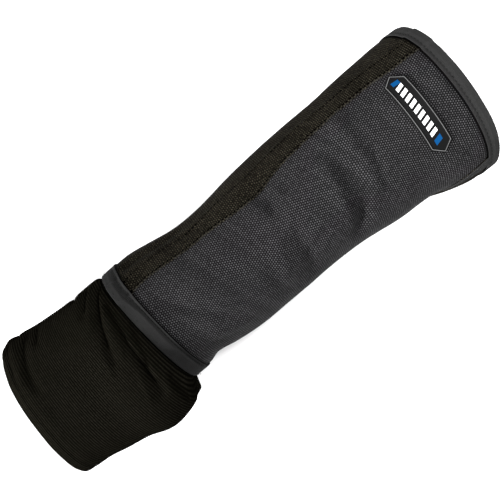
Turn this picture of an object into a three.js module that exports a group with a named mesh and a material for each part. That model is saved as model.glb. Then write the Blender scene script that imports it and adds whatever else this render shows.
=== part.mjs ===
import * as THREE from 'three';

// A work sleeve that lies on a table: a two-panel shell of woven cloth, a wide knit cuff at the wrist, tape
// folded over both edges of the shell and a rubber label. +X runs from the wrist to the mouth, +Z is up.

// Driving dimensions, in millimetres
const shellLength = 351; // wrist edge to mouth edge
const shellWidth = 152; // across the shell at the mouth
const wristSkew = 11; // how far the wrist edge runs out of square across the shell
const wristLean = 2.5; // how far the wrist edge leans out at the top
const mouthSkew = 5; // how far the mouth edge runs out of square across the shell
const mouthLean = 12.5; // how far the mouth edge falls back from its top to its widest line
const cuffLength = 130.3; // wrist edge to the end of the knit
const cuffWidth = 150; // across the knit at its fullest
const cuffEndSkew = 5; // how far the end of the knit runs out of square, the other way
const cuffEndLean = 4; // how far that end falls back from its top to its widest line
const cuffTuck = 11; // knit held inside the wrist binding
const cuffFlare = 14; // length in which the knit opens out below the binding
const clothWall = 1.3;
const knitWall = 2.4;
const hemLength = 10; // doubled end of the knit
const hemSwell = 0.7; // extra thickness of the doubled end
const tapeWall = 0.9;
const tapeWidth = 11.8; // on each side of the mouth edge
const wristTapeWidth = 14; // on each side of the wrist edge
const lapWidth = 20; // front panel's edge under the back panel
const lapStep = 4; // length in which the back panel climbs over that edge
const tailLength = 42;
const tailWidth = 11;
const tailTip = 2;
const labelLength = 84;
const labelWidth = 20;
const labelPoint = 8; // length of each pointed end
const labelWall = 1.1;
const labelRim = 1.4; // width of the raised rim
const labelRimRise = 0.7;
const labelFromMouth = 48; // mouth edge to the middle of the label
const clearance = 0.3;
const restBlend = 5; // height in which the rounded underside meets its flat
const liftBlend = 18; // length in which the shell sinks from its bound edges to the table

// Shape of the sections, without a unit
const topFullness = 2.2; // 2 is an ellipse, more is squarer
const underFullness = 2.6;
const underDepth = 0.72; // depth that the round underside would have, as a share of the half width
const restDepth = 0.6; // depth that the table leaves it

// Sections of the shell. at: share of shellLength from the wrist. half, middle: shares of shellWidth. rise:
// top above the widest line, as a share of half. lap: place of the lapped seam, as a share of half. side:
// place of the side seam, in degrees above the widest line.
const shellSections = [
  { at: 0.0, half: 0.41, middle: 0.02, rise: 0.9, lap: 0.49, side: -12 },
  { at: 0.05, half: 0.413, middle: 0.028, rise: 0.9, lap: 0.49, side: -12 },
  { at: 0.085, half: 0.404, middle: 0.038, rise: 0.91, lap: 0.5, side: -12 },
  { at: 0.14, half: 0.404, middle: 0.018, rise: 0.92, lap: 0.54, side: -12 },
  { at: 0.22, half: 0.399, middle: -0.004, rise: 0.92, lap: 0.575, side: -12 },
  { at: 0.305, half: 0.4, middle: 0.0, rise: 0.92, lap: 0.58, side: -12 },
  { at: 0.4, half: 0.412, middle: 0.019, rise: 0.9, lap: 0.49, side: -12 },
  { at: 0.5, half: 0.419, middle: 0.034, rise: 0.9, lap: 0.54, side: -12 },
  { at: 0.6, half: 0.43, middle: 0.037, rise: 0.89, lap: 0.59, side: -12 },
  { at: 0.705, half: 0.446, middle: 0.026, rise: 0.88, lap: 0.617, side: -10 },
  { at: 0.805, half: 0.461, middle: 0.028, rise: 0.87, lap: 0.617, side: -4 },
  { at: 0.875, half: 0.486, middle: 0.009, rise: 0.86, lap: 0.6, side: 18 },
  { at: 0.935, half: 0.503, middle: -0.003, rise: 0.85, lap: 0.595, side: 29 },
  { at: 1.0, half: 0.5, middle: -0.007, rise: 0.85, lap: 0.59, side: 33 },
];

// Sections of the knit. at: share of cuffLength from the wrist edge. half, middle: shares of cuffWidth.
// rise: as above.
const cuffSections = [
  { at: 0.0, half: 0.47, middle: -0.02, rise: 0.86 },
  { at: 0.08, half: 0.487, middle: -0.036, rise: 0.85 },
  { at: 0.16, half: 0.495, middle: -0.045, rise: 0.84 },
  { at: 0.29, half: 0.504, middle: -0.059, rise: 0.83 },
  { at: 0.38, half: 0.5, middle: -0.054, rise: 0.82 },
  { at: 0.5, half: 0.483, middle: -0.031, rise: 0.82 },
  { at: 0.67, half: 0.476, middle: -0.012, rise: 0.81 },
  { at: 0.8, half: 0.472, middle: 0.009, rise: 0.81 },
  { at: 0.9, half: 0.474, middle: 0.017, rise: 0.8 },
  { at: 1.0, half: 0.436, middle: -0.014, rise: 0.79 },
];

// Dents of the shell, each a groove from one point to another. fromAt, toAt: shares of shellLength.
// fromTurn, toTurn: degrees round the section, 0 at the side seam's side, 90 on top, 180 at the lapped side.
// width, depth: shares of shellWidth; a negative depth is a ridge.
const shellDents = [
  { fromAt: 0.62, fromTurn: 104, toAt: 0.577, toTurn: 35, width: 0.062, depth: 0.026 },
  { fromAt: 0.704, fromTurn: 126, toAt: 0.658, toTurn: 72, width: 0.07, depth: -0.014 },
  { fromAt: 0.44, fromTurn: 70, toAt: 0.43, toTurn: 34, width: 0.075, depth: 0.015 },
  { fromAt: 0.445, fromTurn: 124, toAt: 0.44, toTurn: 104, width: 0.08, depth: 0.009 },
  { fromAt: 0.095, fromTurn: 90, toAt: 0.185, toTurn: 55, width: 0.065, depth: 0.014 },
  { fromAt: 0.065, fromTurn: 149, toAt: 0.215, toTurn: 156, width: 0.045, depth: 0.022 },
  { fromAt: 0.805, fromTurn: 48, toAt: 0.725, toTurn: 60, width: 0.07, depth: 0.008 },
];

// Folds of the knit, in the same columns, as shares of cuffLength and cuffWidth
const cuffFolds = [
  { fromAt: 0.05, fromTurn: 158, toAt: 0.27, toTurn: 96, width: 0.036, depth: 0.024 },
  { fromAt: 0.07, fromTurn: 124, toAt: 0.19, toTurn: 58, width: 0.034, depth: 0.02 },
  { fromAt: 0.15, fromTurn: 163, toAt: 0.25, toTurn: 136, width: 0.03, depth: 0.013 },
  { fromAt: 0.74, fromTurn: 162, toAt: 0.82, toTurn: 106, width: 0.036, depth: 0.015 },
  { fromAt: 0.63, fromTurn: 166, toAt: 0.66, toTurn: 140, width: 0.036, depth: 0.01 },
  { fromAt: 0.88, fromTurn: 168, toAt: 0.91, toTurn: 120, width: 0.03, depth: 0.01 },
];

// Grid of the faceted solids
const frontColumns = 20; // side seam to lapped seam
const lapColumns = 4;
const stepColumns = 1;
const backColumns = 16; // end of the lap's step round to straightTurns
const sideColumns = 3; // straightTurns to the side seam
const straightTurns = 336; // degrees round the section up to which the back panel's columns run straight
const ringColumns = frontColumns + lapColumns + stepColumns + backColumns + sideColumns;
const panelRows = 20; // between the two bindings
const cuffRows = 14; // below the wrist binding
const cuffRowCrowding = 1.5; // power by which those rows crowd toward the binding
const sectionSamples = 360;
const labelColumns = 10;
const tailRows = 6;

const colours = {
  front: 0x3f4144,
  back: 0x28261f,
  tape: 0x393938,
  knit: 0x1a1916,
  rubber: 0x202020,
};

const tapeLift = clearance + tapeWall; // tape outside the shell
const lapLift = clothWall + clearance; // back panel over the front panel's edge
const knitDepth = clothWall + 2 * clearance + tapeWall; // knit inside the shell's outer face

function smooth(value) {
  const t = THREE.MathUtils.clamp(value, 0, 1);
  return t * t * (3 - 2 * t);
}

// A row of a table at any share, on a smooth curve through its rows
function rowAt(table, at) {
  const last = table.length - 2;
  let i = 0;
  while (i < last && at > table[i + 1].at) i += 1;
  const near = table[i];
  const far = table[i + 1];
  const before = table[Math.max(i - 1, 0)];
  const after = table[Math.min(i + 2, table.length - 1)];
  const span = far.at - near.at;
  const t = THREE.MathUtils.clamp((at - near.at) / span, 0, 1);
  const row = {};
  for (const key of Object.keys(near)) {
    const slopeNear = ((far[key] - before[key]) / (far.at - before.at)) * span;
    const slopeFar = ((after[key] - near[key]) / (after.at - near.at)) * span;
    const fromNear = near[key] * (1 + 2 * t) * (1 - t) ** 2 + slopeNear * t * (1 - t) ** 2;
    row[key] = fromNear + far[key] * t * t * (3 - 2 * t) + slopeFar * t * t * (t - 1);
  }
  return row;
}

// A section in millimetres: widest line, top, and the height of the table under the cloth's outer face
function makeSection(row, width, floor) {
  const half = row.half * width;
  return { half, middle: row.middle * width, rise: row.rise * half, floor };
}

// Point of a section at a turn in radians, 0 on the right side and a quarter turn on top
function sectionPoint(section, turn) {
  const cos = Math.cos(turn);
  const sin = Math.sin(turn);
  const power = 2 / (sin > 0 ? topFullness : underFullness);
  const height = sin > 0 ? section.rise : underDepth * section.half;
  const y = section.middle - section.half * Math.sign(cos) * Math.abs(cos) ** power;
  const free = restDepth * section.half + height * Math.sign(sin) * Math.abs(sin) ** power;
  let z = Math.max(free, 0);
  if (Math.abs(free) < restBlend) z = (free + restBlend) ** 2 / (4 * restBlend);
  return new THREE.Vector2(y, z + section.floor);
}

// Outward direction of a section, square to its outline
function sectionNormal(section, turn) {
  const step = 0.01;
  const before = sectionPoint(section, turn - step);
  const after = sectionPoint(section, turn + step);
  return new THREE.Vector2(before.y - after.y, after.x - before.x).normalize();
}

// Depth of all the grooves of a table at one place
function dentDepth(dents, at, turn, length, width) {
  const degree = (Math.PI * width) / 2 / 180; // millimetres round the section for a degree of turn
  let depth = 0;
  for (const dent of dents) {
    const alongX = (dent.toAt - dent.fromAt) * length;
    const alongY = (dent.toTurn - dent.fromTurn) * degree;
    const x = (at - dent.fromAt) * length;
    const y = (THREE.MathUtils.radToDeg(turn) - dent.fromTurn) * degree;
    const reach = alongX ** 2 + alongY ** 2;
    const t = THREE.MathUtils.clamp((x * alongX + y * alongY) / reach, 0, 1);
    const away = Math.hypot(x - t * alongX, y - t * alongY) / (dent.width * width);
    depth += dent.depth * width * Math.exp(-away * away);
  }
  return depth;
}

// Turns at which the columns of the shell meet a section, equally spaced along the cloth in each zone
function columnTurns(section, row) {
  const start = THREE.MathUtils.degToRad(row.side);
  const lapTurn = Math.PI - Math.acos(row.lap ** (topFullness / 2));
  const lengths = [0];
  const point = sectionPoint(section, start);
  for (let i = 1; i <= sectionSamples; i += 1) {
    const next = sectionPoint(section, start + (i / sectionSamples) * 2 * Math.PI);
    lengths.push(lengths[i - 1] + next.distanceTo(point));
    point.copy(next);
  }
  const lengthAt = (turn) => {
    const place = ((turn - start) / (2 * Math.PI)) * sectionSamples;
    const i = Math.floor(place);
    return THREE.MathUtils.lerp(lengths[i], lengths[i + 1], place - i);
  };
  const turnAt = (length) => {
    let i = 0;
    while (i < sectionSamples - 1 && lengths[i + 1] < length) i += 1;
    const share = (length - lengths[i]) / (lengths[i + 1] - lengths[i]);
    return start + ((i + share) / sectionSamples) * 2 * Math.PI;
  };
  const lapEdge = lengthAt(lapTurn);
  const mark = lengthAt(THREE.MathUtils.degToRad(straightTurns));
  const zones = [
    { from: 0, to: lapEdge, columns: frontColumns },
    { from: lapEdge, to: lapEdge + lapWidth, columns: lapColumns },
    { from: lapEdge + lapWidth, to: lapEdge + lapWidth + lapStep, columns: stepColumns },
    { from: lapEdge + lapWidth + lapStep, to: mark, columns: backColumns },
    { from: mark, to: lengths[sectionSamples], columns: sideColumns },
  ];
  const turns = [];
  for (const zone of zones) {
    for (let i = 0; i < zone.columns; i += 1) {
      turns.push(turnAt(THREE.MathUtils.lerp(zone.from, zone.to, i / zone.columns)));
    }
  }
  turns.push(start + 2 * Math.PI);
  return { turns, turnAt, lengthAt, girth: lengths[sectionSamples] };
}

// The shell at a distance from its wrist edge: its section and the turns of its columns
function shellStation(along) {
  const at = THREE.MathUtils.clamp(along / shellLength, 0, 1);
  const row = rowAt(shellSections, at);
  const toEdge = Math.min(along - wristTapeWidth, shellLength - along - tapeWidth) - clearance;
  const floor = tapeLift * (1 - smooth(toEdge / liftBlend));
  const section = makeSection(row, shellWidth, floor);
  return { along, at, section, ...columnTurns(section, row) };
}

// Height of the back panel's outer face above the shell's, which only its lap has
function backLift(column) {
  const past = Math.max(column - frontColumns - lapColumns, 0);
  if (column < frontColumns || past >= stepColumns) return 0;
  return lapLift * (1 - past / stepColumns);
}

// Point of the shell: lift is measured outwards from its outer face
function shellPoint(station, turn, lift) {
  const { section, along, at } = station;
  const normal = sectionNormal(section, turn);
  const depth = dentDepth(shellDents, at, turn, shellLength, shellWidth);
  const point = sectionPoint(section, turn).addScaledVector(normal, lift - depth);
  const across = (point.x - section.middle) / (2 * section.half);
  const up = (point.y - restDepth * section.half) / section.rise;
  const wristShift = (1 - at) ** 2 * (wristSkew * across + wristLean * up);
  const mouthShift = at ** 2 * (mouthSkew * across + mouthLean * (up - 1));
  return new THREE.Vector3(along - wristShift + mouthShift, point.x, point.y);
}

// Point of the knit below the wrist edge; depth is measured inwards from its outer face
function cuffPoint(wrist, along, column, depth) {
  const at = along / cuffLength;
  const turn = wrist.turns[column];
  const section = makeSection(rowAt(cuffSections, at), cuffWidth, 0);
  const normal = sectionNormal(section, turn);
  const fold = dentDepth(cuffFolds, at, turn, cuffLength, cuffWidth);
  const free = sectionPoint(section, turn).addScaledVector(normal, -depth - fold);
  const held = shellPoint(wrist, turn, -knitDepth - depth);
  const open = smooth((along - tapeLift - clearance) / cuffFlare);
  const y = THREE.MathUtils.lerp(held.y, free.x, open);
  const z = THREE.MathUtils.lerp(held.z, free.y, open);
  const across = (y - section.middle) / (2 * section.half);
  const up = (z - restDepth * section.half) / section.rise;
  const endShift = cuffEndSkew * across + cuffEndLean * (1 - up);
  const x = -along + THREE.MathUtils.lerp(held.x, endShift, smooth(at));
  return new THREE.Vector3(x, y, z);
}

// A closed solid from loops of points: each loop is joined to the next, and the ends are closed by pairs of
// points or, on a ring, by each other.
function solidFromLoops(loops, pairs) {
  const count = loops[0].length;
  const positions = loops.flat().flatMap((point) => point.toArray());
  const indices = [];
  const addTriangle = (a, b, c) => {
    if (a !== b && b !== c && c !== a) indices.push(a, b, c);
  };
  const joined = pairs ? loops.length - 1 : loops.length;
  for (let i = 0; i < joined; i += 1) {
    const near = i * count;
    const far = ((i + 1) % loops.length) * count;
    for (let j = 0; j < count; j += 1) {
      const next = (j + 1) % count;
      addTriangle(near + j, far + next, near + next);
      addTriangle(near + j, far + j, far + next);
    }
  }
  const last = (loops.length - 1) * count;
  for (let i = 1; pairs && i < pairs.length; i += 1) {
    const [a, b] = pairs[i - 1];
    const [c, d] = pairs[i];
    addTriangle(a, d, b);
    addTriangle(a, c, d);
    addTriangle(last + a, last + b, last + d);
    addTriangle(last + a, last + d, last + c);
  }
  const geometry = new THREE.BufferGeometry();
  geometry.setAttribute('position', new THREE.Float32BufferAttribute(positions, 3));
  geometry.setIndex(indices);
  geometry.computeVertexNormals();
  return geometry;
}

// Pairs across a strip whose loop runs out along one side and back along the other
function wallPairs(columns) {
  return Array.from({ length: columns + 1 }, (_, i) => [i, 2 * columns + 1 - i]);
}

// Distances from the wrist edge at which the panels have rows
function panelRowPlaces() {
  const places = [0];
  const inner = shellLength - wristTapeWidth - tapeWidth;
  for (let i = 0; i <= panelRows; i += 1) places.push(wristTapeWidth + (i / panelRows) * inner);
  return [...places, shellLength];
}

// One panel between two columns; trim shortens it at the butted side seam
function makePanel(firstColumn, lastColumn, liftOf, trimStart, trimEnd) {
  const columns = lastColumn - firstColumn;
  const loops = panelRowPlaces().map((along) => {
    const station = shellStation(along);
    const turns = station.turns.slice(firstColumn, lastColumn + 1);
    if (trimStart) turns[0] = station.turnAt(trimStart);
    if (trimEnd) turns[columns] = station.turnAt(station.girth - trimEnd);
    const outer = turns.map((turn, i) => shellPoint(station, turn, liftOf(firstColumn + i)));
    const inner = turns.map((turn, i) => shellPoint(station, turn, liftOf(firstColumn + i) - clothWall));
    return [...outer, ...inner.reverse()];
  });
  return solidFromLoops(loops, wallPairs(columns));
}

function makeFrontPanel() {
  return makePanel(0, frontColumns + lapColumns, () => 0, clearance / 2, 0);
}

function makeBackPanel() {
  return makePanel(frontColumns, ringColumns, backLift, 0, clearance / 2);
}

// Tape folded over an edge of the shell. out: 1 where the edge faces the mouth, -1 where it faces the wrist.
// width: of the tape on each side of the edge.
function makeBinding(edge, out, width) {
  const legEnd = shellStation(edge - out * width);
  const legStart = shellStation(edge);
  const loops = [];
  for (let column = 0; column < ringColumns; column += 1) {
    const top = backLift(column);
    const middle = (top - clothWall) / 2;
    const fold = (top + clothWall) / 2 + tapeLift; // half the folded tape's thickness
    const at = (station, lift, past) => {
      const point = shellPoint(station, station.turns[column], lift);
      point.x += out * past;
      return point;
    };
    const bend = [90, 50, 17, -17, -50, -90].map((degrees) => {
      const angle = THREE.MathUtils.degToRad(degrees);
      return at(legStart, middle + fold * Math.sin(angle), tapeLift * Math.cos(angle));
    });
    loops.push([
      at(legEnd, top + clearance, 0),
      at(legEnd, top + tapeLift, 0),
      ...bend,
      at(legEnd, -clothWall - tapeLift, 0),
      at(legEnd, -clothWall - clearance, 0),
      at(legStart, -clothWall - clearance, clearance),
      at(legStart, top + clearance, clearance),
    ]);
  }
  if (out > 0) loops.reverse();
  return solidFromLoops(loops);
}

// The knit: held inside the wrist binding, open below it, and doubled into a rounded hem at its end
function makeCuff() {
  const wrist = shellStation(0);
  const tucked = shellStation(cuffTuck);
  const places = [];
  for (let i = 0; i <= cuffRows; i += 1) {
    const share = i / cuffRows;
    places.push(tapeLift + clearance + (cuffLength - hemLength - tapeLift) * share ** cuffRowCrowding);
  }
  const round = knitWall / 2 + hemSwell;
  places.push(cuffLength - hemLength / 2, cuffLength - round);
  const loops = [];
  for (let column = 0; column < ringColumns; column += 1) {
    const turn = wrist.turns[column];
    const swell = (along) => hemSwell * smooth((along - cuffLength + hemLength) / (hemLength / 2));
    const outer = places.map((along) => cuffPoint(wrist, along, column, 0));
    const inner = places.map((along) => cuffPoint(wrist, along, column, knitWall + swell(along)));
    const middle = (knitWall + hemSwell) / 2;
    const tip = [-0.7, 0, 0.7].map((share) => {
      const along = cuffLength - round + round * Math.sqrt(1 - share * share);
      return cuffPoint(wrist, along, column, middle * (1 + share));
    });
    loops.push([
      shellPoint(tucked, tucked.turns[column], -knitDepth),
      shellPoint(wrist, turn, -knitDepth),
      ...outer,
      ...tip,
      ...inner.reverse(),
      shellPoint(wrist, turn, -knitDepth - knitWall),
      shellPoint(tucked, tucked.turns[column], -knitDepth - knitWall),
    ]);
  }
  return solidFromLoops(loops);
}

// The label: a long hexagon laid over the top of the front panel, with a raised rim round a flat field
function makeLabel() {
  const centre = shellLength - labelFromMouth;
  const half = labelLength / 2;
  const pointAngle = Math.atan(labelWidth / 2 / labelPoint); // between a pointed end's edge and the axis
  const loopAt = (inset, lift) => {
    const tip = half - inset / Math.sin(pointAngle);
    const shoulder = half - labelPoint - inset * Math.tan(pointAngle / 2);
    const side = labelWidth / 2 - inset;
    const places = [-tip];
    for (let i = 0; i <= labelColumns; i += 1) places.push(shoulder * ((2 * i) / labelColumns - 1));
    places.push(tip);
    const pointAt = (along, across) => {
      const station = shellStation(centre + across);
      const top = station.lengthAt(Math.PI / 2);
      return shellPoint(station, station.turnAt(top + along), lift);
    };
    const left = places.map((along, i) => pointAt(along, i === 0 || i === places.length - 1 ? 0 : -side));
    const right = places.slice(1, -1).reverse().map((along) => pointAt(along, side));
    return [...left, ...right];
  };
  const loops = [
    loopAt(0, clearance),
    loopAt(0, clearance + labelWall + labelRimRise),
    loopAt(labelRim, clearance + labelWall + labelRimRise),
    loopAt(labelRim, clearance + labelWall),
  ];
  const count = loops[0].length;
  const pairs = Array.from({ length: count / 2 + 1 }, (_, i) => [i, (count - i) % count]);
  return solidFromLoops(loops, pairs);
}

// The tapered end of tape on the back panel, beside the side seam and next to the mouth binding
function makeTail() {
  const start = shellLength - tapeWidth - clearance;
  const loops = [];
  for (let i = 0; i <= tailRows; i += 1) {
    const share = i / tailRows;
    const station = shellStation(start - share * tailLength);
    const width = THREE.MathUtils.lerp(tailWidth, tailTip, share);
    const turns = [0, 0.5, 1].map((part) => station.turnAt(station.girth - clearance - part * width));
    const outer = turns.map((turn) => shellPoint(station, turn, tapeLift));
    const inner = turns.map((turn) => shellPoint(station, turn, clearance));
    loops.push([...outer, ...inner.reverse()]);
  }
  return solidFromLoops(loops, wallPairs(2));
}

function matt(colour, roughness) {
  return new THREE.MeshStandardMaterial({ color: colour, roughness, metalness: 0 });
}

const tapeCloth = matt(colours.tape, 0.85);
const pieces = [
  { name: 'front_panel', geometry: makeFrontPanel(), material: matt(colours.front, 0.85) },
  { name: 'back_panel', geometry: makeBackPanel(), material: matt(colours.back, 0.95) },
  { name: 'mouth_binding', geometry: makeBinding(shellLength, 1, tapeWidth), material: tapeCloth },
  { name: 'wrist_binding', geometry: makeBinding(0, -1, wristTapeWidth), material: tapeCloth },
  { name: 'binding_tail', geometry: makeTail(), material: tapeCloth },
  { name: 'knit_cuff', geometry: makeCuff(), material: matt(colours.knit, 0.95) },
  { name: 'label', geometry: makeLabel(), material: matt(colours.rubber, 0.5) },
];

const sleeve = new THREE.Group();
for (const piece of pieces) {
  const mesh = new THREE.Mesh(piece.geometry, piece.material);
  mesh.name = piece.name;
  sleeve.add(mesh);
}

// The origin is the middle of the sleeve's box, on the table
const box = new THREE.Box3().setFromObject(sleeve);
const middle = box.getCenter(new THREE.Vector3());
sleeve.position.set(-middle.x, -middle.y, -box.min.z);

export default sleeve;
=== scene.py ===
import math

import bpy
import numpy as np
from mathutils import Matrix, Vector, noise


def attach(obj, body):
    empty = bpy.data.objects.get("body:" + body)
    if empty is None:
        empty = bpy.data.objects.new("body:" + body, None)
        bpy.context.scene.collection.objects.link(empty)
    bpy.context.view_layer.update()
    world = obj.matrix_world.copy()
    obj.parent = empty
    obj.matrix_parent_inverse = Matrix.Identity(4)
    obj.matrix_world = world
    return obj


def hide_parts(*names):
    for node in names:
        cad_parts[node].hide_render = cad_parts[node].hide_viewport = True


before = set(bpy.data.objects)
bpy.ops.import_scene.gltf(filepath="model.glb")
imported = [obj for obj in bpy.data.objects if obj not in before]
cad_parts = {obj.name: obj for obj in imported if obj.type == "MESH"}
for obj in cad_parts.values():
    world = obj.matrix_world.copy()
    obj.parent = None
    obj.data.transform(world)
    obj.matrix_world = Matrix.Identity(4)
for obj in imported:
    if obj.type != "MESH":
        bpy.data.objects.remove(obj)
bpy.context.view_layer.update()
print("frame loaded:", ", ".join(sorted(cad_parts)))

# Sizes that the pieces share, in metres, and the shape of the sections
sleeve = dict(
    shellLength=0.351,
    shellWidth=0.152,
    wristSkew=0.011,
    wristLean=0.0025,
    mouthSkew=0.005,
    mouthLean=0.0125,
    cuffLength=0.1303,
    cuffWidth=0.15,
    cuffEndSkew=0.005,
    cuffEndLean=0.004,
    cuffTuck=0.011,
    cuffFlare=0.014,
    lapSideSteepness=0.5,
    lapSideTurn=110,
    lapSideBlend=50,
    clothWall=0.0013,
    knitWall=0.0024,
    hemLength=0.01,
    hemSwell=0.0007,
    tapeWall=0.0009,
    tapeWidth=0.0118,
    wristTapeWidth=0.014,
    lapWidth=0.02,
    lapStep=0.004,
    lapEdgeBlend=0.003,
    labelFromMouth=0.048,
    clearance=0.0003,
    restBlend=0.005,
    liftBlend=0.018,
    topFullness=2.2,
    underFullness=2.6,
    underDepth=0.72,
    restDepth=0.6,
    wristX=-0.11079,  # wrist edge in the sleeve's own frame
    middleY=0.00373,
)
tapeLift = sleeve["clearance"] + sleeve["tapeWall"]
lapLift = sleeve["clothWall"] + sleeve["clearance"]
knitDepth = sleeve["clothWall"] + 2 * sleeve["clearance"] + sleeve["tapeWall"]

# Sections of the shell: at (share of its length from the wrist), half, middle (shares of shellWidth),
# rise (share of half), lap (share of half), side (degrees of the side seam)
shellSections = np.array([
    (0.0, 0.41, 0.02, 0.9, 0.49, -12),
    (0.05, 0.413, 0.028, 0.9, 0.49, -12),
    (0.085, 0.404, 0.038, 0.91, 0.5, -12),
    (0.14, 0.404, 0.018, 0.92, 0.54, -12),
    (0.22, 0.399, -0.004, 0.92, 0.575, -12),
    (0.305, 0.4, 0.0, 0.92, 0.58, -12),
    (0.4, 0.412, 0.019, 0.9, 0.49, -12),
    (0.5, 0.419, 0.034, 0.9, 0.54, -12),
    (0.6, 0.43, 0.037, 0.89, 0.59, -12),
    (0.705, 0.446, 0.026, 0.88, 0.617, -10),
    (0.805, 0.461, 0.028, 0.87, 0.617, -4),
    (0.875, 0.486, 0.009, 0.86, 0.6, 18),
    (0.935, 0.503, -0.003, 0.85, 0.595, 29),
    (1.0, 0.5, -0.007, 0.85, 0.59, 33),
])

# Sections of the knit: at (share of its length from the wrist edge), half, middle, rise
cuffSections = np.array([
    (0.0, 0.47, -0.02, 0.86),
    (0.08, 0.487, -0.036, 0.85),
    (0.16, 0.495, -0.045, 0.84),
    (0.29, 0.504, -0.059, 0.83),
    (0.38, 0.5, -0.054, 0.82),
    (0.5, 0.483, -0.031, 0.82),
    (0.67, 0.476, -0.012, 0.81),
    (0.8, 0.472, 0.009, 0.81),
    (0.9, 0.474, 0.017, 0.8),
    (1.0, 0.436, -0.014, 0.79),
])

# Grooves pressed into the shell: fromAt, fromTurn, toAt, toTurn, width, depth; a negative depth is a ridge
shellDents = [
    (0.645, 91, 0.592, 37, 0.06, 0.026),
    (0.704, 126, 0.658, 72, 0.07, -0.014),
    (0.44, 70, 0.43, 34, 0.075, 0.015),
    (0.445, 124, 0.44, 104, 0.08, 0.009),
    (0.095, 90, 0.185, 55, 0.065, 0.014),
    (0.065, 149, 0.215, 156, 0.045, 0.022),
    (0.805, 48, 0.725, 60, 0.07, 0.008),
]

# Narrower creases and ridges of the shell, in the same columns
creases = [
    (0.66, 84, 0.655, 72, 0.04, 0.026),
    (0.648, 66, 0.606, 40, 0.04, 0.022),
    (0.605, 102, 0.578, 50, 0.045, -0.014),
    (0.695, 118, 0.68, 78, 0.05, -0.01),
    (0.45, 72, 0.44, 40, 0.04, 0.012),
    (0.455, 124, 0.45, 104, 0.045, 0.014),
    (0.335, 66, 0.33, 38, 0.05, 0.01),
    (0.11, 86, 0.18, 60, 0.04, 0.014),
    (0.605, 110, 0.5, 107, 0.05, 0.018),
    (0.5, 106, 0.44, 98, 0.045, 0.01),
    (0.5, 125, 0.3, 121, 0.05, 0.008),
    (0.515, 60, 0.44, 52, 0.035, 0.0096),
    (0.44, 98, 0.43, 118, 0.035, 0.0096),
    (0.39, 80, 0.36, 45, 0.04, -0.008),
    (0.16, 78, 0.235, 62, 0.03, 0.0096),
    (0.12, 45, 0.2, 40, 0.045, -0.0096),
    (0.72, 88, 0.7, 60, 0.03, 0.0096),
    (0.8, 120, 0.79, 96, 0.03, 0.0064),
    (0.03, 118, 0.1, 128, 0.025, 0.0128),
    (0.93, 44, 0.9, 62, 0.03, 0.008),
    (0.3, 130, 0.22, 140, 0.03, 0.008),
    (0.8, -4, 0.86, 6, 0.08, 0.015),
    (0.8, 356, 0.86, 366, 0.08, 0.015),
]

# Folds of the knit in the same columns, and its small wrinkles, which get painted shade inside
cuffFolds = [
    (0.05, 158, 0.27, 96, 0.036, 0.024),
    (0.07, 124, 0.19, 58, 0.034, 0.02),
    (0.15, 163, 0.25, 136, 0.03, 0.013),
    (0.74, 162, 0.82, 106, 0.036, 0.015),
    (0.63, 166, 0.66, 140, 0.036, 0.01),
    (0.88, 168, 0.91, 120, 0.03, 0.01),
]
cuffWrinkles = [
    (0.045, 155, 0.24, 104, 0.014, 0.02),
    (0.277, 205, 0.285, 162, 0.02, 0.014),
    (0.83, 205, 0.84, 165, 0.03, 0.012),
    (0.97, 205, 0.975, 165, 0.035, -0.016),
    (0.07, -12, 0.09, 20, 0.05, 0.016),
    (0.07, 348, 0.09, 380, 0.05, 0.016),
    (0.075, 128, 0.17, 66, 0.013, 0.018),
    (0.14, 160, 0.22, 140, 0.012, 0.012),
    (0.085, 56, 0.115, 28, 0.02, 0.024),
    (0.11, 96, 0.27, 60, 0.02, -0.008),
    (0.2, 118, 0.34, 88, 0.022, -0.008),
    (0.03, 100, 0.12, 78, 0.014, 0.012),
    (0.76, 160, 0.84, 112, 0.014, 0.01),
    (0.64, 160, 0.67, 142, 0.014, 0.008),
    (0.89, 160, 0.92, 126, 0.012, 0.008),
]

# Slow unevenness of the cloth: height, size and seed of each layer, and how flat it stays by the label
uneven = dict(
    shell=[(0.0008, 0.03, 3.7), (0.0003, 0.012, 9.1)],
    cuff=(0.0012, 0.03, 21.3),
    labelZone=0.012,
    labelBlend=0.02,
)


def smooth(value):
    t = np.clip(value, 0, 1)
    return t * t * (3 - 2 * t)


def rowsAt(table, at):  # values on a smooth curve through the rows of a table
    i = np.clip(np.searchsorted(table[:, 0], at, side="right") - 1, 0, len(table) - 2)
    near, far = table[i], table[i + 1]
    before, after = table[np.maximum(i - 1, 0)], table[np.minimum(i + 2, len(table) - 1)]
    span = (far - near)[:, :1]
    t = np.clip((at[:, None] - near[:, :1]) / span, 0, 1)
    slopeNear = (far - before) / (far - before)[:, :1] * span
    slopeFar = (after - near) / (after - near)[:, :1] * span
    fromNear = near * (1 + 2 * t) * (1 - t) ** 2 + slopeNear * t * (1 - t) ** 2
    return fromNear + far * t * t * (3 - 2 * t) + slopeFar * t * t * (t - 1)


def sectionPoints(section, turn):
    cos, sin = np.cos(turn), np.sin(turn)
    half = section["half"]
    power = 2 / np.where(sin > 0, sleeve["topFullness"], sleeve["underFullness"])
    height = np.where(sin > 0, section["rise"], sleeve["underDepth"] * half)
    y = section["middle"] - half * np.sign(cos) * np.abs(cos) ** power
    free = sleeve["restDepth"] * half + height * np.sign(sin) * np.abs(sin) ** power
    blend = sleeve["restBlend"]
    z = np.where(np.abs(free) < blend, (free + blend) ** 2 / (4 * blend), np.maximum(free, 0))
    return y, z + section["floor"]


def sectionNormals(section, turn):
    y0, z0 = sectionPoints(section, turn - 0.01)
    y1, z1 = sectionPoints(section, turn + 0.01)
    size = np.hypot(y1 - y0, z1 - z0)
    return (z0 - z1) / size, (y1 - y0) / size


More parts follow.
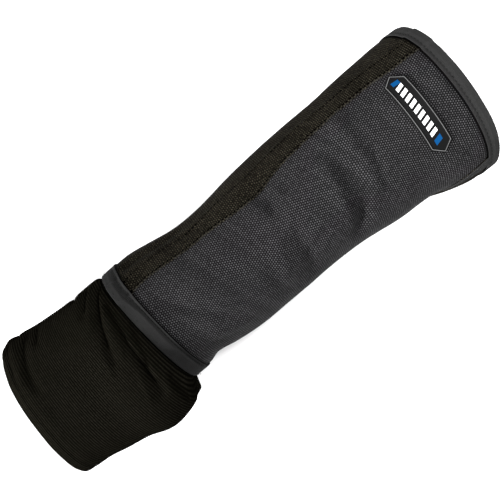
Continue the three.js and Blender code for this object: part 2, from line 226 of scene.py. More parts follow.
def dentDepth(dents, at, turn, part):  # part is shell or cuff
    length, width = sleeve[part + "Length"], sleeve[part + "Width"]
    degree = math.pi * width / 2 / 180
    depth = np.zeros(np.broadcast(at, turn).shape)
    for fromAt, fromTurn, toAt, toTurn, reach, deep in dents:
        alongX, alongY = (toAt - fromAt) * length, (toTurn - fromTurn) * degree
        x, y = (at - fromAt) * length, (np.degrees(turn) - fromTurn) * degree
        t = np.clip((x * alongX + y * alongY) / (alongX**2 + alongY**2), 0, 1)
        away = np.hypot(x - t * alongX, y - t * alongY) / (reach * width)
        depth = depth + deep * width * np.exp(-away * away)
    return depth


def unevenness(x, turn, size, seed):  # smooth noise over a tube, from -1 to 1
    radius = sleeve["shellWidth"] / 2
    x, turn = np.broadcast_arrays(x, turn)
    spots = np.stack([x, radius * np.cos(turn), radius * np.sin(turn)], -1).reshape(-1, 3) / size + seed
    return np.array([noise.noise(Vector(spot)) for spot in spots]).reshape(turn.shape)


def makeStations(along, samples=720):  # sections of the shell at distances from its wrist edge
    along = np.asarray(along, float)
    at = np.clip(along / sleeve["shellLength"], 0, 1)
    row = rowsAt(shellSections, at)
    width = sleeve["shellWidth"]
    toEdge = np.minimum(along - sleeve["wristTapeWidth"], sleeve["shellLength"] - along - sleeve["tapeWidth"])
    toEdge = toEdge - sleeve["clearance"]
    station = dict(
        along=along[:, None],
        at=at[:, None],
        half=row[:, 1:2] * width,
        middle=row[:, 2:3] * width,
        rise=row[:, 3:4] * row[:, 1:2] * width,
        floor=tapeLift * (1 - smooth(toEdge / sleeve["liftBlend"]))[:, None],
    )
    turns = np.radians(row[:, 5:6]) + np.linspace(0, 2 * math.pi, samples + 1)
    y, z = sectionPoints(station, turns)
    steps = np.hypot(np.diff(y, axis=1), np.diff(z, axis=1))
    station["turns"] = turns
    station["lengths"] = np.concatenate([np.zeros((len(along), 1)), np.cumsum(steps, axis=1)], axis=1)
    station["girth"] = station["lengths"][:, -1:]
    lapTurn = math.pi - np.arccos(row[:, 4:5] ** (sleeve["topFullness"] / 2))
    station["lap"] = lengthsAt(station, lapTurn)
    station["top"] = lengthsAt(station, np.full((len(along), 1), math.pi / 2))
    return station


def lengthsAt(station, turn):
    return np.array([np.interp(a, b, c) for a, b, c in zip(turn, station["turns"], station["lengths"])])


def turnsAt(station, length):
    return np.array([np.interp(a, b, c) for a, b, c in zip(length, station["lengths"], station["turns"])])


def shellPoints(station, turn, lift):  # lift is measured outwards from the shell's outer face
    y, z = sectionPoints(station, turn)
    normalY, normalZ = sectionNormals(station, turn)
    at = station["at"]
    fromLabel = np.abs(station["along"] - sleeve["shellLength"] + sleeve["labelFromMouth"])
    free = np.clip(np.sin(turn) + 0.3, 0, 1)
    free = free * smooth((fromLabel - uneven["labelZone"]) / uneven["labelBlend"])
    humps = sum(high * unevenness(station["along"], turn, size, seed) for high, size, seed in uneven["shell"])
    depth = dentDepth(shellDents, at, turn, "shell") + free * humps + dentDepth(creases, at, turn, "shell")
    y = y + normalY * (lift - depth)
    z = z + normalZ * (lift - depth)
    across = (y - station["middle"]) / (2 * station["half"])
    up = (z - sleeve["restDepth"] * station["half"]) / station["rise"]
    wristShift = (1 - at) ** 2 * (sleeve["wristSkew"] * across + sleeve["wristLean"] * up)
    mouthShift = at**2 * (sleeve["mouthSkew"] * across + sleeve["mouthLean"] * (up - 1))
    return np.stack([station["along"] - wristShift + mouthShift, y, z], -1)


def cuffPoints(held, turn, along, depth):  # points of the knit; depth is measured inwards from its outer face
    at = along / sleeve["cuffLength"]
    row = rowsAt(cuffSections, np.atleast_1d(at))[0]
    half = row[1] * sleeve["cuffWidth"]
    section = dict(half=half, middle=row[2] * sleeve["cuffWidth"], rise=row[3] * half, floor=0)
    y, z = sectionPoints(section, turn)
    normalY, normalZ = sectionNormals(section, turn)
    inward = depth + dentDepth(cuffFolds + cuffWrinkles, at, turn, "cuff")
    high, size, seed = uneven["cuff"]
    inward = inward + high * np.clip(np.sin(turn) + 0.2, 0, 1) * unevenness(along, turn, size, seed)
    lapSide = smooth((np.degrees(turn) - sleeve["lapSideTurn"]) / sleeve["lapSideBlend"])
    flare = sleeve["cuffFlare"] * (1 - sleeve["lapSideSteepness"] * lapSide)
    gape = smooth((along - tapeLift - sleeve["clearance"]) / flare)
    y = held[:, 1] + (y - normalY * inward - held[:, 1]) * gape
    z = held[:, 2] + (z - normalZ * inward - held[:, 2]) * gape
    across = (y - section["middle"]) / (2 * half)
    up = (z - sleeve["restDepth"] * half) / section["rise"]
    endShift = sleeve["cuffEndSkew"] * across + sleeve["cuffEndLean"] * (1 - up)
    x = -along + held[:, 0] + (endShift - held[:, 0]) * smooth(at)
    return np.stack([x, y, z], -1)


def place(points):  # from the wrist edge's frame to the sleeve's own
    return points + np.array([sleeve["wristX"], sleeve["middleY"], 0])


def lapRise(station, length):  # how far the back panel's lap lifts what lies over it
    past = length - station["lap"]
    fall = smooth((past - sleeve["lapWidth"]) / sleeve["lapStep"])
    return lapLift * smooth(1 + past / sleeve["lapEdgeBlend"]) * (1 - fall)


def ringLengths(station, counts=(100, 24, 130)):  # lengths round the shell, with the lap's zone finer
    lapEnd = station["lap"] + sleeve["lapWidth"] + sleeve["lapStep"]
    ends = [0 * station["lap"], station["lap"], lapEnd, station["girth"]]
    zones = [a + (b - a) * np.arange(n) / n for a, b, n in zip(ends, ends[1:], counts)]
    return np.concatenate(zones, axis=1)


def loft(name, loops, uv, ring):
    # Loops of points joined each to the next; a ring joins the last to the first, else both ends are closed
    rows, count = loops.shape[:2]
    ids = np.arange(rows * count).reshape(rows, count)
    uvIds = np.arange(uv.shape[0] * uv.shape[1]).reshape(uv.shape[:2])
    i, j = (part.ravel() for part in np.mgrid[: rows if ring else rows - 1, :count])
    i1, j1 = (i + 1) % rows, (j + 1) % count
    faces = np.stack([ids[i, j], ids[i, j1], ids[i1, j1], ids[i1, j]], 1)
    corners = np.stack([uvIds[i, j], uvIds[i, j + 1], uvIds[i + 1, j + 1], uvIds[i + 1, j]], 1)
    if not ring:
        k = np.arange(1, count // 2)
        quad = np.stack([k - 1, k, count - 1 - k, count - k], 1)
        faces = np.concatenate([faces, ids[0][quad[:, ::-1]], ids[-1][quad]])
        corners = np.concatenate([corners, uvIds[0][quad[:, ::-1]], uvIds[-1][quad]])
    points = place(loops.reshape(-1, 3))
    a, b, c, d = (points[faces[:, k]] for k in range(4))
    if (a * (np.cross(b, c) + np.cross(c, d))).sum() < 0:
        faces, corners = faces[:, ::-1], corners[:, ::-1]
    mesh = bpy.data.meshes.new(name)
    mesh.from_pydata(points, [], faces.tolist())
    layer = mesh.uv_layers.new(name="cloth")
    layer.data.foreach_set("uv", uv.reshape(-1, 2)[corners.ravel()].astype("f").ravel())
    return addPiece(name, mesh)


def addPiece(name, mesh, sharp=50):
    mesh.polygons.foreach_set("use_smooth", [True] * len(mesh.polygons))
    mesh.set_sharp_from_angle(angle=math.radians(sharp))
    piece = bpy.data.objects.new(name, mesh)
    bpy.context.scene.collection.objects.link(piece)
    print(f"{name}: {sum(len(face.vertices) - 2 for face in mesh.polygons)} triangles")
    return piece


def finishPiece(piece, material, slot, *nodes):
    if material is not None:
        piece.data.materials.clear()
        piece.data.materials.append(material)
    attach(piece, "root")
    if nodes:
        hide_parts(*nodes)


# Materials


class Graph:
    def __init__(self, name, roughness, specular=0.35):
        self.material = bpy.data.materials.new(name)
        self.material.use_nodes = True
        self.tree = self.material.node_tree
        self.tree.nodes.clear()
        self.shader = self.node("ShaderNodeBsdfPrincipled")
        self.shader.inputs["Roughness"].default_value = roughness
        self.shader.inputs["Specular IOR Level"].default_value = specular
        output = self.node("ShaderNodeOutputMaterial")
        self.tree.links.new(self.shader.outputs[0], output.inputs[0])

    def node(self, kind, **settings):
        made = self.tree.nodes.new(kind)
        for key, value in settings.items():
            setattr(made, key, value)
        return made

    def put(self, socket, value):
        if isinstance(value, bpy.types.NodeSocket):
            self.tree.links.new(value, socket)
        else:
            socket.default_value = value

    def math(self, operation, *values):
        made = self.node("ShaderNodeMath", operation=operation)
        for socket, value in zip(made.inputs, values):
            self.put(socket, value)
        return made.outputs[0]

    def range(self, value, low, high, toLow=0.0, toHigh=1.0):
        made = self.node("ShaderNodeMapRange", interpolation_type="SMOOTHSTEP")
        for socket, given in zip(made.inputs, (value, low, high, toLow, toHigh)):
            self.put(socket, given)
        return made.outputs[0]

    def mix(self, factor, a, b):
        made = self.node("ShaderNodeMix", data_type="RGBA")
        self.put(made.inputs[0], factor)
        self.put(made.inputs[6], a)
        self.put(made.inputs[7], b)
        return made.outputs[2]

    def noise(self, scale, detail=2.0, rough=0.5):
        made = self.node("ShaderNodeTexNoise")
        coordinates = self.node("ShaderNodeTexCoord")
        self.tree.links.new(coordinates.outputs["Object"], made.inputs["Vector"])
        for key, value in (("Scale", scale), ("Detail", detail), ("Roughness", rough)):
            made.inputs[key].default_value = value
        return made.outputs["Fac"]

    def clothPlace(self):
        uv = self.node("ShaderNodeUVMap", uv_map="cloth")
        parts = self.node("ShaderNodeSeparateXYZ")
        self.tree.links.new(uv.outputs[0], parts.inputs[0])
        return parts.outputs[0], parts.outputs[1]

    def lattice(self, u, v, pitchU, pitchV):
        # Distance to the nearest point of a staggered lattice, and a random number that goes with it
        row = self.math("DIVIDE", u, pitchU)
        shift = self.math("MULTIPLY", self.math("FLOORED_MODULO", self.math("FLOOR", row), 2.0), 0.5)
        column = self.math("ADD", self.math("DIVIDE", v, pitchV), shift)
        du = self.math("MULTIPLY", self.math("SUBTRACT", self.math("FRACT", row), 0.5), pitchU)
        dv = self.math("MULTIPLY", self.math("SUBTRACT", self.math("FRACT", column), 0.5), pitchV)
        cell = self.math("ADD", self.math("MULTIPLY", self.math("FLOOR", row), 17.31),
                         self.math("MULTIPLY", self.math("FLOOR", column), 5.77))
        squares = self.math("ADD", self.math("MULTIPLY", du, du), self.math("MULTIPLY", dv, dv))
        away = self.math("SQRT", squares)
        chance = self.node("ShaderNodeTexWhiteNoise", noise_dimensions="1D")
        self.tree.links.new(cell, chance.inputs["W"])
        return away, chance.outputs["Value"]

    def bump(self, height, distance, strength=1.0):
        made = self.node("ShaderNodeBump")
        made.inputs["Strength"].default_value = strength
        made.inputs["Distance"].default_value = distance
        self.tree.links.new(height, made.inputs["Height"])
        self.tree.links.new(made.outputs[0], self.shader.inputs["Normal"])


def dottedCloth(name, finish):  # raised dots on a dark ground, darkened to black beside the tapes by painted shade
    graph = Graph(name, finish["roughness"], finish["specular"])
    u, v = graph.clothPlace()
    away, chance = graph.lattice(u, v, panel["dotPitchU"], panel["dotPitchV"])
    spot = graph.range(away, panel["dotRadius"] * 0.45, panel["dotRadius"], 1.0, 0.0)
    strength = graph.math("MULTIPLY", spot, graph.range(chance, 0.0, 1.0, 0.55, 1.0))
    patch = graph.range(graph.noise(26.0), 0.3, 0.7, 0.85, 1.15)
    grain = finish["grain"]
    speck = graph.range(graph.noise(560.0, 3.0, 0.7), 0.35, 0.65, 1 - grain, 1 + grain)
    strength = graph.math("MULTIPLY", strength, speck)
    colour = graph.mix(graph.math("MULTIPLY", strength, patch), finish["ground"], finish["dot"])
    # painted shade: the cloth darkens to black within about a millimetre of each tape, standing in for the
    # shadow at the tape's edge
    fromTape = graph.math("MINIMUM", graph.math("SUBTRACT", u, sleeve["wristTapeWidth"]),
                          graph.math("SUBTRACT", sleeve["shellLength"] - sleeve["tapeWidth"], u))
    shadow = graph.range(fromTape, panel["tapeShadow"] * 0.6, panel["tapeShadow"] * 1.4, 0.95, 0.0)
    colour = graph.mix(shadow, colour, (0.0, 0.0, 0.0, 1.0))
    if "edge" in finish:  # the folded edge, which v is measured from, has a painted highlight: it is painted pale where it would catch the light
        # painted highlight: a narrow pale band along the fold, broken up by noise
        edgeHighlight = graph.math("MULTIPLY", graph.range(graph.math("ABSOLUTE", v), 0.0002, 0.0008, 1.0, 0.0),
                          graph.range(graph.noise(420.0), 0.42, 0.58))
        colour = graph.mix(edgeHighlight, colour, finish["edge"])
    graph.put(graph.shader.inputs["Base Color"], colour)
    graph.bump(spot, finish["dotHeight"])
    return graph.material


def twill(name, colour, shade):
    graph = Graph(name, 0.85, 0.03)
    u, v = graph.clothPlace()
    across = graph.math("MULTIPLY", u, tape["walesAcross"])
    slant = graph.math("ADD", across, graph.math("MULTIPLY", v, tape["walesAlong"]))
    wale = graph.math("ABSOLUTE", graph.math("SUBTRACT", graph.math("FRACT", slant), 0.5))
    grain = graph.math("MULTIPLY", graph.noise(1400.0), 0.6)
    height = graph.math("ADD", graph.range(wale, 0.05, 0.4), grain)
    graph.put(graph.shader.inputs["Base Color"], graph.mix(graph.range(height, 0.2, 1.2), shade, colour))
    graph.bump(height, tape["waleHeight"])
    return graph.material


def ribKnit(name):  # rows of loops, with painted shade in the wrinkles
    graph = Graph(name, 0.95, 0.0)
    u, v = graph.clothPlace()
    row = graph.math("FRACT", graph.math("DIVIDE", u, knit["ribPitch"]))
    crest = graph.range(graph.math("ABSOLUTE", graph.math("SUBTRACT", row, 0.5)), 0.1, 0.42, 1.0, 0.0)
    column = graph.math("FRACT", graph.math("DIVIDE", v, knit["loopPitch"]))
    gap = graph.range(graph.math("ABSOLUTE", graph.math("SUBTRACT", column, 0.5)), 0.05, 0.45, 1.0, 0.35)
    bead = graph.math("MULTIPLY", crest, gap)
    fibre = graph.range(graph.noise(900.0), 0.3, 0.7, 0.3, 1.25)
    # painted shade: the knit's colour is darkened where the valley attribute marks a wrinkle
    valley = graph.node("ShaderNodeAttribute", attribute_name="valley")
    lit = graph.math("SUBTRACT", 1.0, graph.math("MULTIPLY", valley.outputs["Fac"], knit["valleyShade"]))
    shown = graph.math("MULTIPLY", graph.math("MULTIPLY", bead, fibre), lit)
    graph.put(graph.shader.inputs["Base Color"], graph.mix(shown, knit["colour"], knit["ridge"]))
    graph.bump(bead, knit["loopHeight"])
    return graph.material


def plain(name, colour, roughness, specular=0.35, grain=0.0):
    graph = Graph(name, roughness, specular)
    graph.put(graph.shader.inputs["Base Color"], colour)
    if grain:
        graph.bump(graph.noise(1500.0), grain)
    return graph.material


# The two panels

panel = dict(
    rowSpacing=0.0015,
    crowding=-0.25,
    columnSpacing=0.0017,
    edgePoints=4,
    pinchWidth=0.0014,
    pinchDepth=0.0009,
    tapeShadow=0.0011,
    dotPitchU=0.002,
    dotPitchV=0.0023,
    dotRadius=0.00092,
)
frontFinish = dict(
    ground=(0.0024, 0.0023, 0.0025, 1),
    dot=(0.0485, 0.0475, 0.0493, 1),
    dotHeight=0.0005,
    roughness=0.75,
    specular=0.03,
    grain=0.2,
)
backFinish = dict(
    ground=(0.0013, 0.0011, 0.0007, 1),
    dot=(0.0285, 0.0255, 0.0185, 1),
    # edge: colour of the painted highlight along the folded lap edge
    edge=(0.016, 0.015, 0.013, 1),
    dotHeight=0.0004,
    roughness=0.9,
    specular=0.01,
    grain=0.9,
)


def panelPiece(name, firstLength, lastLength, liftAt):
    rows = int(sleeve["shellLength"] / panel["rowSpacing"]) + 1
    share = np.linspace(-1, 1, rows)
    share = (1 + share * (1 - panel["crowding"] * (1 - share**2))) / 2  # rows lie closer near both tapes
    station = makeStations(share * sleeve["shellLength"])
    start, end = firstLength(station), lastLength(station)
    columns = int((end - start).max() / panel["columnSpacing"])
    length = start + (end - start) * np.linspace(0, 1, columns + 1)
    wall = sleeve["clothWall"]
    turn = turnsAt(station, length)
    fromMouth = sleeve["shellLength"] - sleeve["tapeWidth"] - station["along"]
    fromWrist = station["along"] - sleeve["wristTapeWidth"]
    pinch = sum(np.exp(-((gap / panel["pinchWidth"] - 0.5) ** 2)) for gap in (fromMouth, fromWrist))
    lift = liftAt(station, length) - panel["pinchDepth"] * pinch  # the cloth is sewn down beside both tapes
    outer = shellPoints(station, turn, lift)
    inner = shellPoints(station, turn, lift - wall)
    # Round edges: points on a half circle from the outer face to the inner one
    angles = [math.pi * (k + 1) / (panel["edgePoints"] + 1) for k in range(panel["edgePoints"])]

    def edge(column, outward):
        mid, half = (outer[:, column] + inner[:, column]) / 2, (outer[:, column] - inner[:, column]) / 2
        neighbour = outer[:, column - outward]
        side = outer[:, column] - neighbour
        side = side / np.linalg.norm(side, axis=1, keepdims=True) * wall / 2
        return [mid + half * math.cos(angle) + side * math.sin(angle) for angle in angles]

    startEdge, endEdge = edge(0, -1)[::-1], edge(columns, 1)
    middle = panel["edgePoints"] // 2
    loops = np.stack([*startEdge[middle:], *outer.transpose(1, 0, 2), *endEdge,
                      *inner.transpose(1, 0, 2)[::-1], *startEdge[:middle]], axis=1)
    v = length - station["lap"]
    around = np.concatenate([v[:, :1].repeat(middle, 1), v, v[:, -1:].repeat(panel["edgePoints"], 1),
                             v[:, ::-1], v[:, :1].repeat(middle + 1, 1)], axis=1)
    uv = np.stack([np.broadcast_to(station["along"], around.shape), around], -1)
    piece = loft(name, loops, uv, ring=False)
    width = (end - start)[:, 0]
    return piece, (float(width.max()), sleeve["shellLength"]), float(width.mean() * sleeve["shellLength"])


frontPanel, frontFlat, frontArea = panelPiece(
    "frontPanel",
    lambda station: 0 * station["lap"] + sleeve["clearance"] / 2 + sleeve["clothWall"] / 2,
    lambda station: station["lap"] + sleeve["lapWidth"],
    lambda station, length: 0 * length,
)
backPanel, backFlat, backArea = panelPiece(
    "backPanel",
    lambda station: station["lap"],
    lambda station: station["girth"] - sleeve["clearance"] / 2 - sleeve["clothWall"] / 2,
    lapRise,
)
finishPiece(frontPanel, dottedCloth("frontCloth", frontFinish), "front_cloth", "front_panel")
finishPiece(backPanel, dottedCloth("backCloth", backFinish), "back_cloth", "back_panel")

# Tapes folded over the two edges

tape = dict(
    legPoints=26,
    foldPoints=9,
    foldReach=0.002,
    stitchInset=0.0033,
    stitchWidth=0.0009,
    stitchDepth=0.00035,
    bodyInset=0.0045,
    bodyBlend=0.003,
    bodyHeight=0.0005,
    walesAcross=1150.0,
    walesAlong=820.0,
    waleHeight=0.00025,
    colour=(0.025, 0.025, 0.0248, 1),
    wristColour=(0.0175, 0.0175, 0.0173, 1),
    shade=(0.003, 0.003, 0.003, 1),
)
# The wrist's tape: a lip at its free edge, a groove that widens toward the lapped seam, and a full body
wristTape = dict(
    lipWidth=0.0022,
    lipHeight=0.0006,
    grooveInset=0.0016,
    grooveWidth=0.0009,
    grooveWidening=0.0035,
    wideningTurn=95,
    wideningBlend=25,
    grooveDepth=0.0008,
    sinkBefore=0.0004,
    sinkBlend=0.0007,
    riseBlend=0.0014,
    bodyAfter=0.0002,
    bodyBlend=0.0018,
    bodyHeight=0.0013,
)


def bindingPiece(name, edge, out, width, surface):
    # Points of the profile: share of the width, distance past the edge, side (1 outer, -1 inner), height
    legs = np.linspace(0, 1, tape["legPoints"])
    angles = np.radians(np.linspace(90, -90, tape["foldPoints"] + 2)[1:-1])
    bottom, top = sleeve["clearance"], tapeLift
    profile = [(1, 0, 1, bottom)]
    profile += [(1 - share, 0, 1, top) for share in legs]
    profile += [(0, top * math.cos(angle), math.sin(angle), top) for angle in angles]
    profile += [(share, 0, -1, top) for share in legs]
    profile += [(1, 0, -1, bottom), (0, bottom, -1, bottom), (0, bottom, 1, bottom)]
    back, past, side, height = np.array(profile).T
    station = makeStations(edge - out * back * width)
    length = ringLengths(station)
    rise = lapRise(station, length)
    wall = sleeve["clothWall"]
    turn = turnsAt(station, length)
    relief = surface((1 - back[:, None]) * width, turn) * smooth(side[:, None]) * smooth(2 * np.sin(turn))
    relief = relief * (height[:, None] > bottom)
    lift = (rise - wall) / 2 + ((rise + wall) / 2 + height[:, None]) * side[:, None] + relief * side[:, None]
    points = shellPoints(station, turn, lift)
    points[:, :, 0] += out * past[:, None]
    loops = points.transpose(1, 0, 2)
    reach = tape["foldReach"]
    path = np.concatenate([[0], np.cumsum(np.hypot(np.diff(back) * width, np.diff(side * reach)))])
    path = np.append(path, path[-1] + reach / 2)
    girth = np.concatenate([length[0], station["girth"][0]])
    uv = np.stack(np.meshgrid(path, girth), -1)
    return loft(name, loops, uv, ring=True), float(station["girth"].mean())


def mouthSurface(inwards, turn):  # a stitched line near the tape's free edge and a rounded body
    stitched = np.exp(-(((inwards - tape["stitchInset"]) / tape["stitchWidth"]) ** 2))
    body = smooth((inwards - tape["bodyInset"]) / tape["bodyBlend"])
    return tape["bodyHeight"] * body - tape["stitchDepth"] * stitched


def grooveWidth(turn):
    widening = smooth((np.degrees(turn) - wristTape["wideningTurn"]) / wristTape["wideningBlend"])
    return wristTape["grooveWidening"] * widening + wristTape["grooveWidth"]


def grooveMiddle(turn):
    return wristTape["grooveInset"] + grooveWidth(turn) / 2


def wristSurface(inwards, turn):
    past = inwards - wristTape["grooveInset"]
    beyond = past - grooveWidth(turn)
    lip = smooth(1 - inwards / wristTape["lipWidth"])
    sunk = smooth((past + wristTape["sinkBefore"]) / wristTape["sinkBlend"])
    sunk = sunk * (1 - smooth(beyond / wristTape["riseBlend"]))
    body = smooth((beyond - wristTape["bodyAfter"]) / wristTape["bodyBlend"])
    return wristTape["lipHeight"] * lip - wristTape["grooveDepth"] * sunk + wristTape["bodyHeight"] * body


mouthBinding, mouthGirth = bindingPiece(
    "mouthBinding", sleeve["shellLength"], 1, sleeve["tapeWidth"], mouthSurface)
wristBinding, wristGirth = bindingPiece(
    "wristBinding", 0.0, -1, sleeve["wristTapeWidth"], wristSurface)
tapeCloth = twill("tapeCloth", tape["colour"], tape["shade"])
finishPiece(mouthBinding, tapeCloth, "tape", "mouth_binding")
finishPiece(wristBinding, twill("wristTape", tape["wristColour"], tape["shade"]), "tape", "wrist_binding")

tail = dict(length=0.042, width=0.011, tip=0.002, rows=28, columns=8)


def tailPiece():
    share = np.linspace(0, 1, tail["rows"] + 1)
    start = sleeve["shellLength"] - sleeve["tapeWidth"] - sleeve["clearance"]
    station = makeStations(start - share * tail["length"])
    width = tail["width"] + (tail["tip"] - tail["width"]) * share[:, None]
    part = np.linspace(0, 1, tail["columns"] + 1)
    turn = turnsAt(station, station["girth"] - sleeve["clearance"] - sleeve["clothWall"] / 2 - part * width)
    outer, inner = (shellPoints(station, turn, lift) for lift in (tapeLift, sleeve["clearance"]))
    loops = np.concatenate([outer, inner[:, ::-1]], axis=1)
    u = np.concatenate([part, part[::-1], part[:1]]) * tail["width"]
    uv = np.stack(np.meshgrid(u, share * tail["length"]), -1)
    return loft("bindingTail", loops, uv, ring=False)


bindingTail = tailPiece()
finishPiece(bindingTail, tapeCloth, "tape", "binding_tail")

# The knit

knit = dict(
    darkDepth=0.0024,
    # valleyShade: how much painted shade darkens the knit inside its wrinkles
    valleyShade=0.65,
    ribPitch=0.0021,
    ribHeight=0.00035,
    pointsPerRib=4,
    loopPitch=0.0013,
    loopHeight=0.0003,
    hemSeams=(0.0085, 0.0105),
    seamWidth=0.0006,
    seamDepth=0.0008,
    endShares=(-0.9, -0.6, -0.3, 0, 0.3, 0.6, 0.9),
    endSpacing=0.0008,
    innerSpacing=0.003,
    columns=(64, 12, 90),
    colour=(0.001, 0.0009, 0.0006, 1),
    ridge=(0.0105, 0.0097, 0.0072, 1),
)


def cuffPiece():
    end = sleeve["cuffLength"]
    rounding = sleeve["knitWall"] / 2 + sleeve["hemSwell"]
    thick = sleeve["knitWall"] + sleeve["hemSwell"]
    first = tapeLift + sleeve["clearance"]
    outerPath = np.arange(first, end - rounding, knit["ribPitch"] / knit["pointsPerRib"])
    innerPath = np.arange(first, end - rounding, knit["innerSpacing"])
    wrist, tucked = (makeStations([inside]) for inside in (0, sleeve["cuffTuck"]))
    turn = turnsAt(wrist, ringLengths(wrist, knit["columns"]))
    tuckedTurn = turnsAt(tucked, ringLengths(tucked, knit["columns"]))

    def swell(along):
        return sleeve["hemSwell"] * smooth((along - end + sleeve["hemLength"]) / (sleeve["hemLength"] / 2))

    def ring(along, depth):
        held = shellPoints(wrist, turn, -knitDepth - depth)[0]
        wrinkles = dentDepth(cuffWrinkles, along / sleeve["cuffLength"], turn[0], "cuff")
        # valley is painted shade: how deep each point lies in a small wrinkle, which darkens the knit there
        valleys.append(np.clip(wrinkles / knit["darkDepth"], 0, 1))
        return cuffPoints(held, turn[0], along, depth)

    valleys = [0 * turn[0], 0 * turn[0]]
    rings = [shellPoints(tucked, tuckedTurn, -knitDepth)[0], shellPoints(wrist, turn, -knitDepth)[0]]
    places = [-sleeve["cuffTuck"], 0.0]
    for along in outerPath:
        rib = knit["ribHeight"] * (0.5 + 0.5 * math.cos(2 * math.pi * (along / knit["ribPitch"] - 0.5)))
        seams = sum(math.exp(-((along - end + seam) / knit["seamWidth"]) ** 2) for seam in knit["hemSeams"])
        rings.append(ring(along, knit["ribHeight"] - rib + knit["seamDepth"] * seams))
        places.append(along)
    for share in knit["endShares"]:
        along = end - rounding + rounding * math.sqrt(1 - share * share)
        rings.append(ring(along, thick / 2 * (1 + share)))
        places.append(places[-1] + knit["endSpacing"])
    for along in innerPath[::-1]:
        rings.append(ring(along, sleeve["knitWall"] + swell(along)))
        places.append(2 * end - along)
    rings.append(shellPoints(wrist, turn, -knitDepth - sleeve["knitWall"])[0])
    rings.append(shellPoints(tucked, tuckedTurn, -knitDepth - sleeve["knitWall"])[0])
    places += [2 * end, 2 * end + sleeve["cuffTuck"], 2 * end + sleeve["cuffTuck"] + sleeve["knitWall"]]
    loops = np.array(rings).transpose(1, 0, 2)
    girth = np.append(ringLengths(wrist, knit["columns"])[0], wrist["girth"][0])
    uv = np.stack(np.meshgrid(np.array(places), girth), -1)
    piece = loft("knitCuff", loops, uv, ring=True)
    valleys += [0 * turn[0], 0 * turn[0]]
    valley = piece.data.attributes.new("valley", "FLOAT", "POINT")
    valley.data.foreach_set("value", np.array(valleys).T.astype("f").ravel())
    return piece, float(wrist["girth"][0, 0])


knitCuff, cuffGirth = cuffPiece()
finishPiece(knitCuff, ribKnit("knitCloth"), "knit", "knit_cuff")

# The label, with plain bars on its field

label = dict(
    length=0.084,
    width=0.02,
    point=0.008,
    wall=0.0011,
    rim=0.0019,
    rimRise=0.0007,
    columns=48,
    bevel=0.0003,
    rubber=(0.0032, 0.0032, 0.0033, 1),
    # colour of the line on the rim's crest: a painted highlight
    rimHighlight=(0.1, 0.1, 0.1, 1),
    rimLine=(0.0007, 0.0011),
    white=(0.6, 0.605, 0.61, 1),
    blue=(0.0, 0.03, 0.098, 1),
    sink=0.0001,
    barHeight=0.00012,
    barReach=0.0035,  # to each side of the middle
    barWidth=0.0035,
    barPitch=0.006,
    barSlant=0.003,
    barStep=0.002,
    firstBar=-0.024,
    barCount=9,
    endBars=[(-0.0325, -0.0275, 0.003), (0.0305, 0.0345, 0)],  # from, to, slant
)


def labelPoints(along, across, lift):  # across runs toward the mouth, along round the sleeve
    station = makeStations(sleeve["shellLength"] - sleeve["labelFromMouth"] + np.asarray(across, float))
    turn = turnsAt(station, station["top"] + np.asarray(along, float)[:, None])
    return shellPoints(station, turn, np.asarray(lift, float)[:, None])[:, 0]


def labelPiece():
    half, side = label["length"] / 2, label["width"] / 2
    angle = math.atan(side / label["point"])
    low, top = sleeve["clearance"], sleeve["clearance"] + label["wall"]
    rim, bevel = top + label["rimRise"], label["bevel"]
    levels = [(0, low), (0, rim - bevel), (bevel * 0.3, rim - bevel * 0.3), (bevel, rim),
              *((bevel + line, rim) for line in label["rimLine"]),
              (label["rim"] - bevel, rim), (label["rim"], rim - bevel), (label["rim"] + label["sink"], top)]
    loops = []
    for inset, lift in levels:
        tip = half - inset / math.sin(angle)
        shoulder = half - label["point"] - inset * math.tan(angle / 2)
        spine = np.concatenate([[-tip], np.linspace(-shoulder, shoulder, label["columns"] + 1), [tip]])
        edge = np.where(np.abs(spine) < tip, side - inset, 0)
        along = np.concatenate([spine, spine[-2:0:-1]])
        across = np.concatenate([-edge, edge[-2:0:-1]])
        loops.append(labelPoints(along, across, np.full(len(along), lift)))
    loops = np.array(loops)
    rows, count = loops.shape[:2]
    faces = []
    for i in range(rows - 1):
        near, far = i * count, (i + 1) * count
        faces += [(near + j, near + (j + 1) % count, far + (j + 1) % count, far + j) for j in range(count)]
    for row, turned in ((0, True), (rows - 1, False)):
        first = row * count
        for k in range(1, count // 2 + 1):
            corners = [first + k - 1, first + k, first + (count - k) % count, first + (count - k + 1) % count]
            corners = list(dict.fromkeys(corners))
            faces.append(tuple(corners[::-1] if turned else corners))
    mesh = bpy.data.meshes.new("label")
    mesh.from_pydata(place(loops.reshape(-1, 3)), [], faces)
    fixNormals(mesh)
    return addPiece("label", mesh, sharp=35)


def fixNormals(mesh):
    volume = sum(face.center.dot(face.normal) * face.area for face in mesh.polygons)
    if volume < 0:
        mesh.flip_normals()


def fieldPoints(along, across, lift):  # the field is straight from one side of the label to the other
    side = label["width"] / 2 - label["rim"]
    lifts = np.full(len(along), lift)
    left, right = (labelPoints(along, np.full(len(along), edge), lifts) for edge in (-side, side))
    return left + (right - left) * (across + side) / (2 * side)


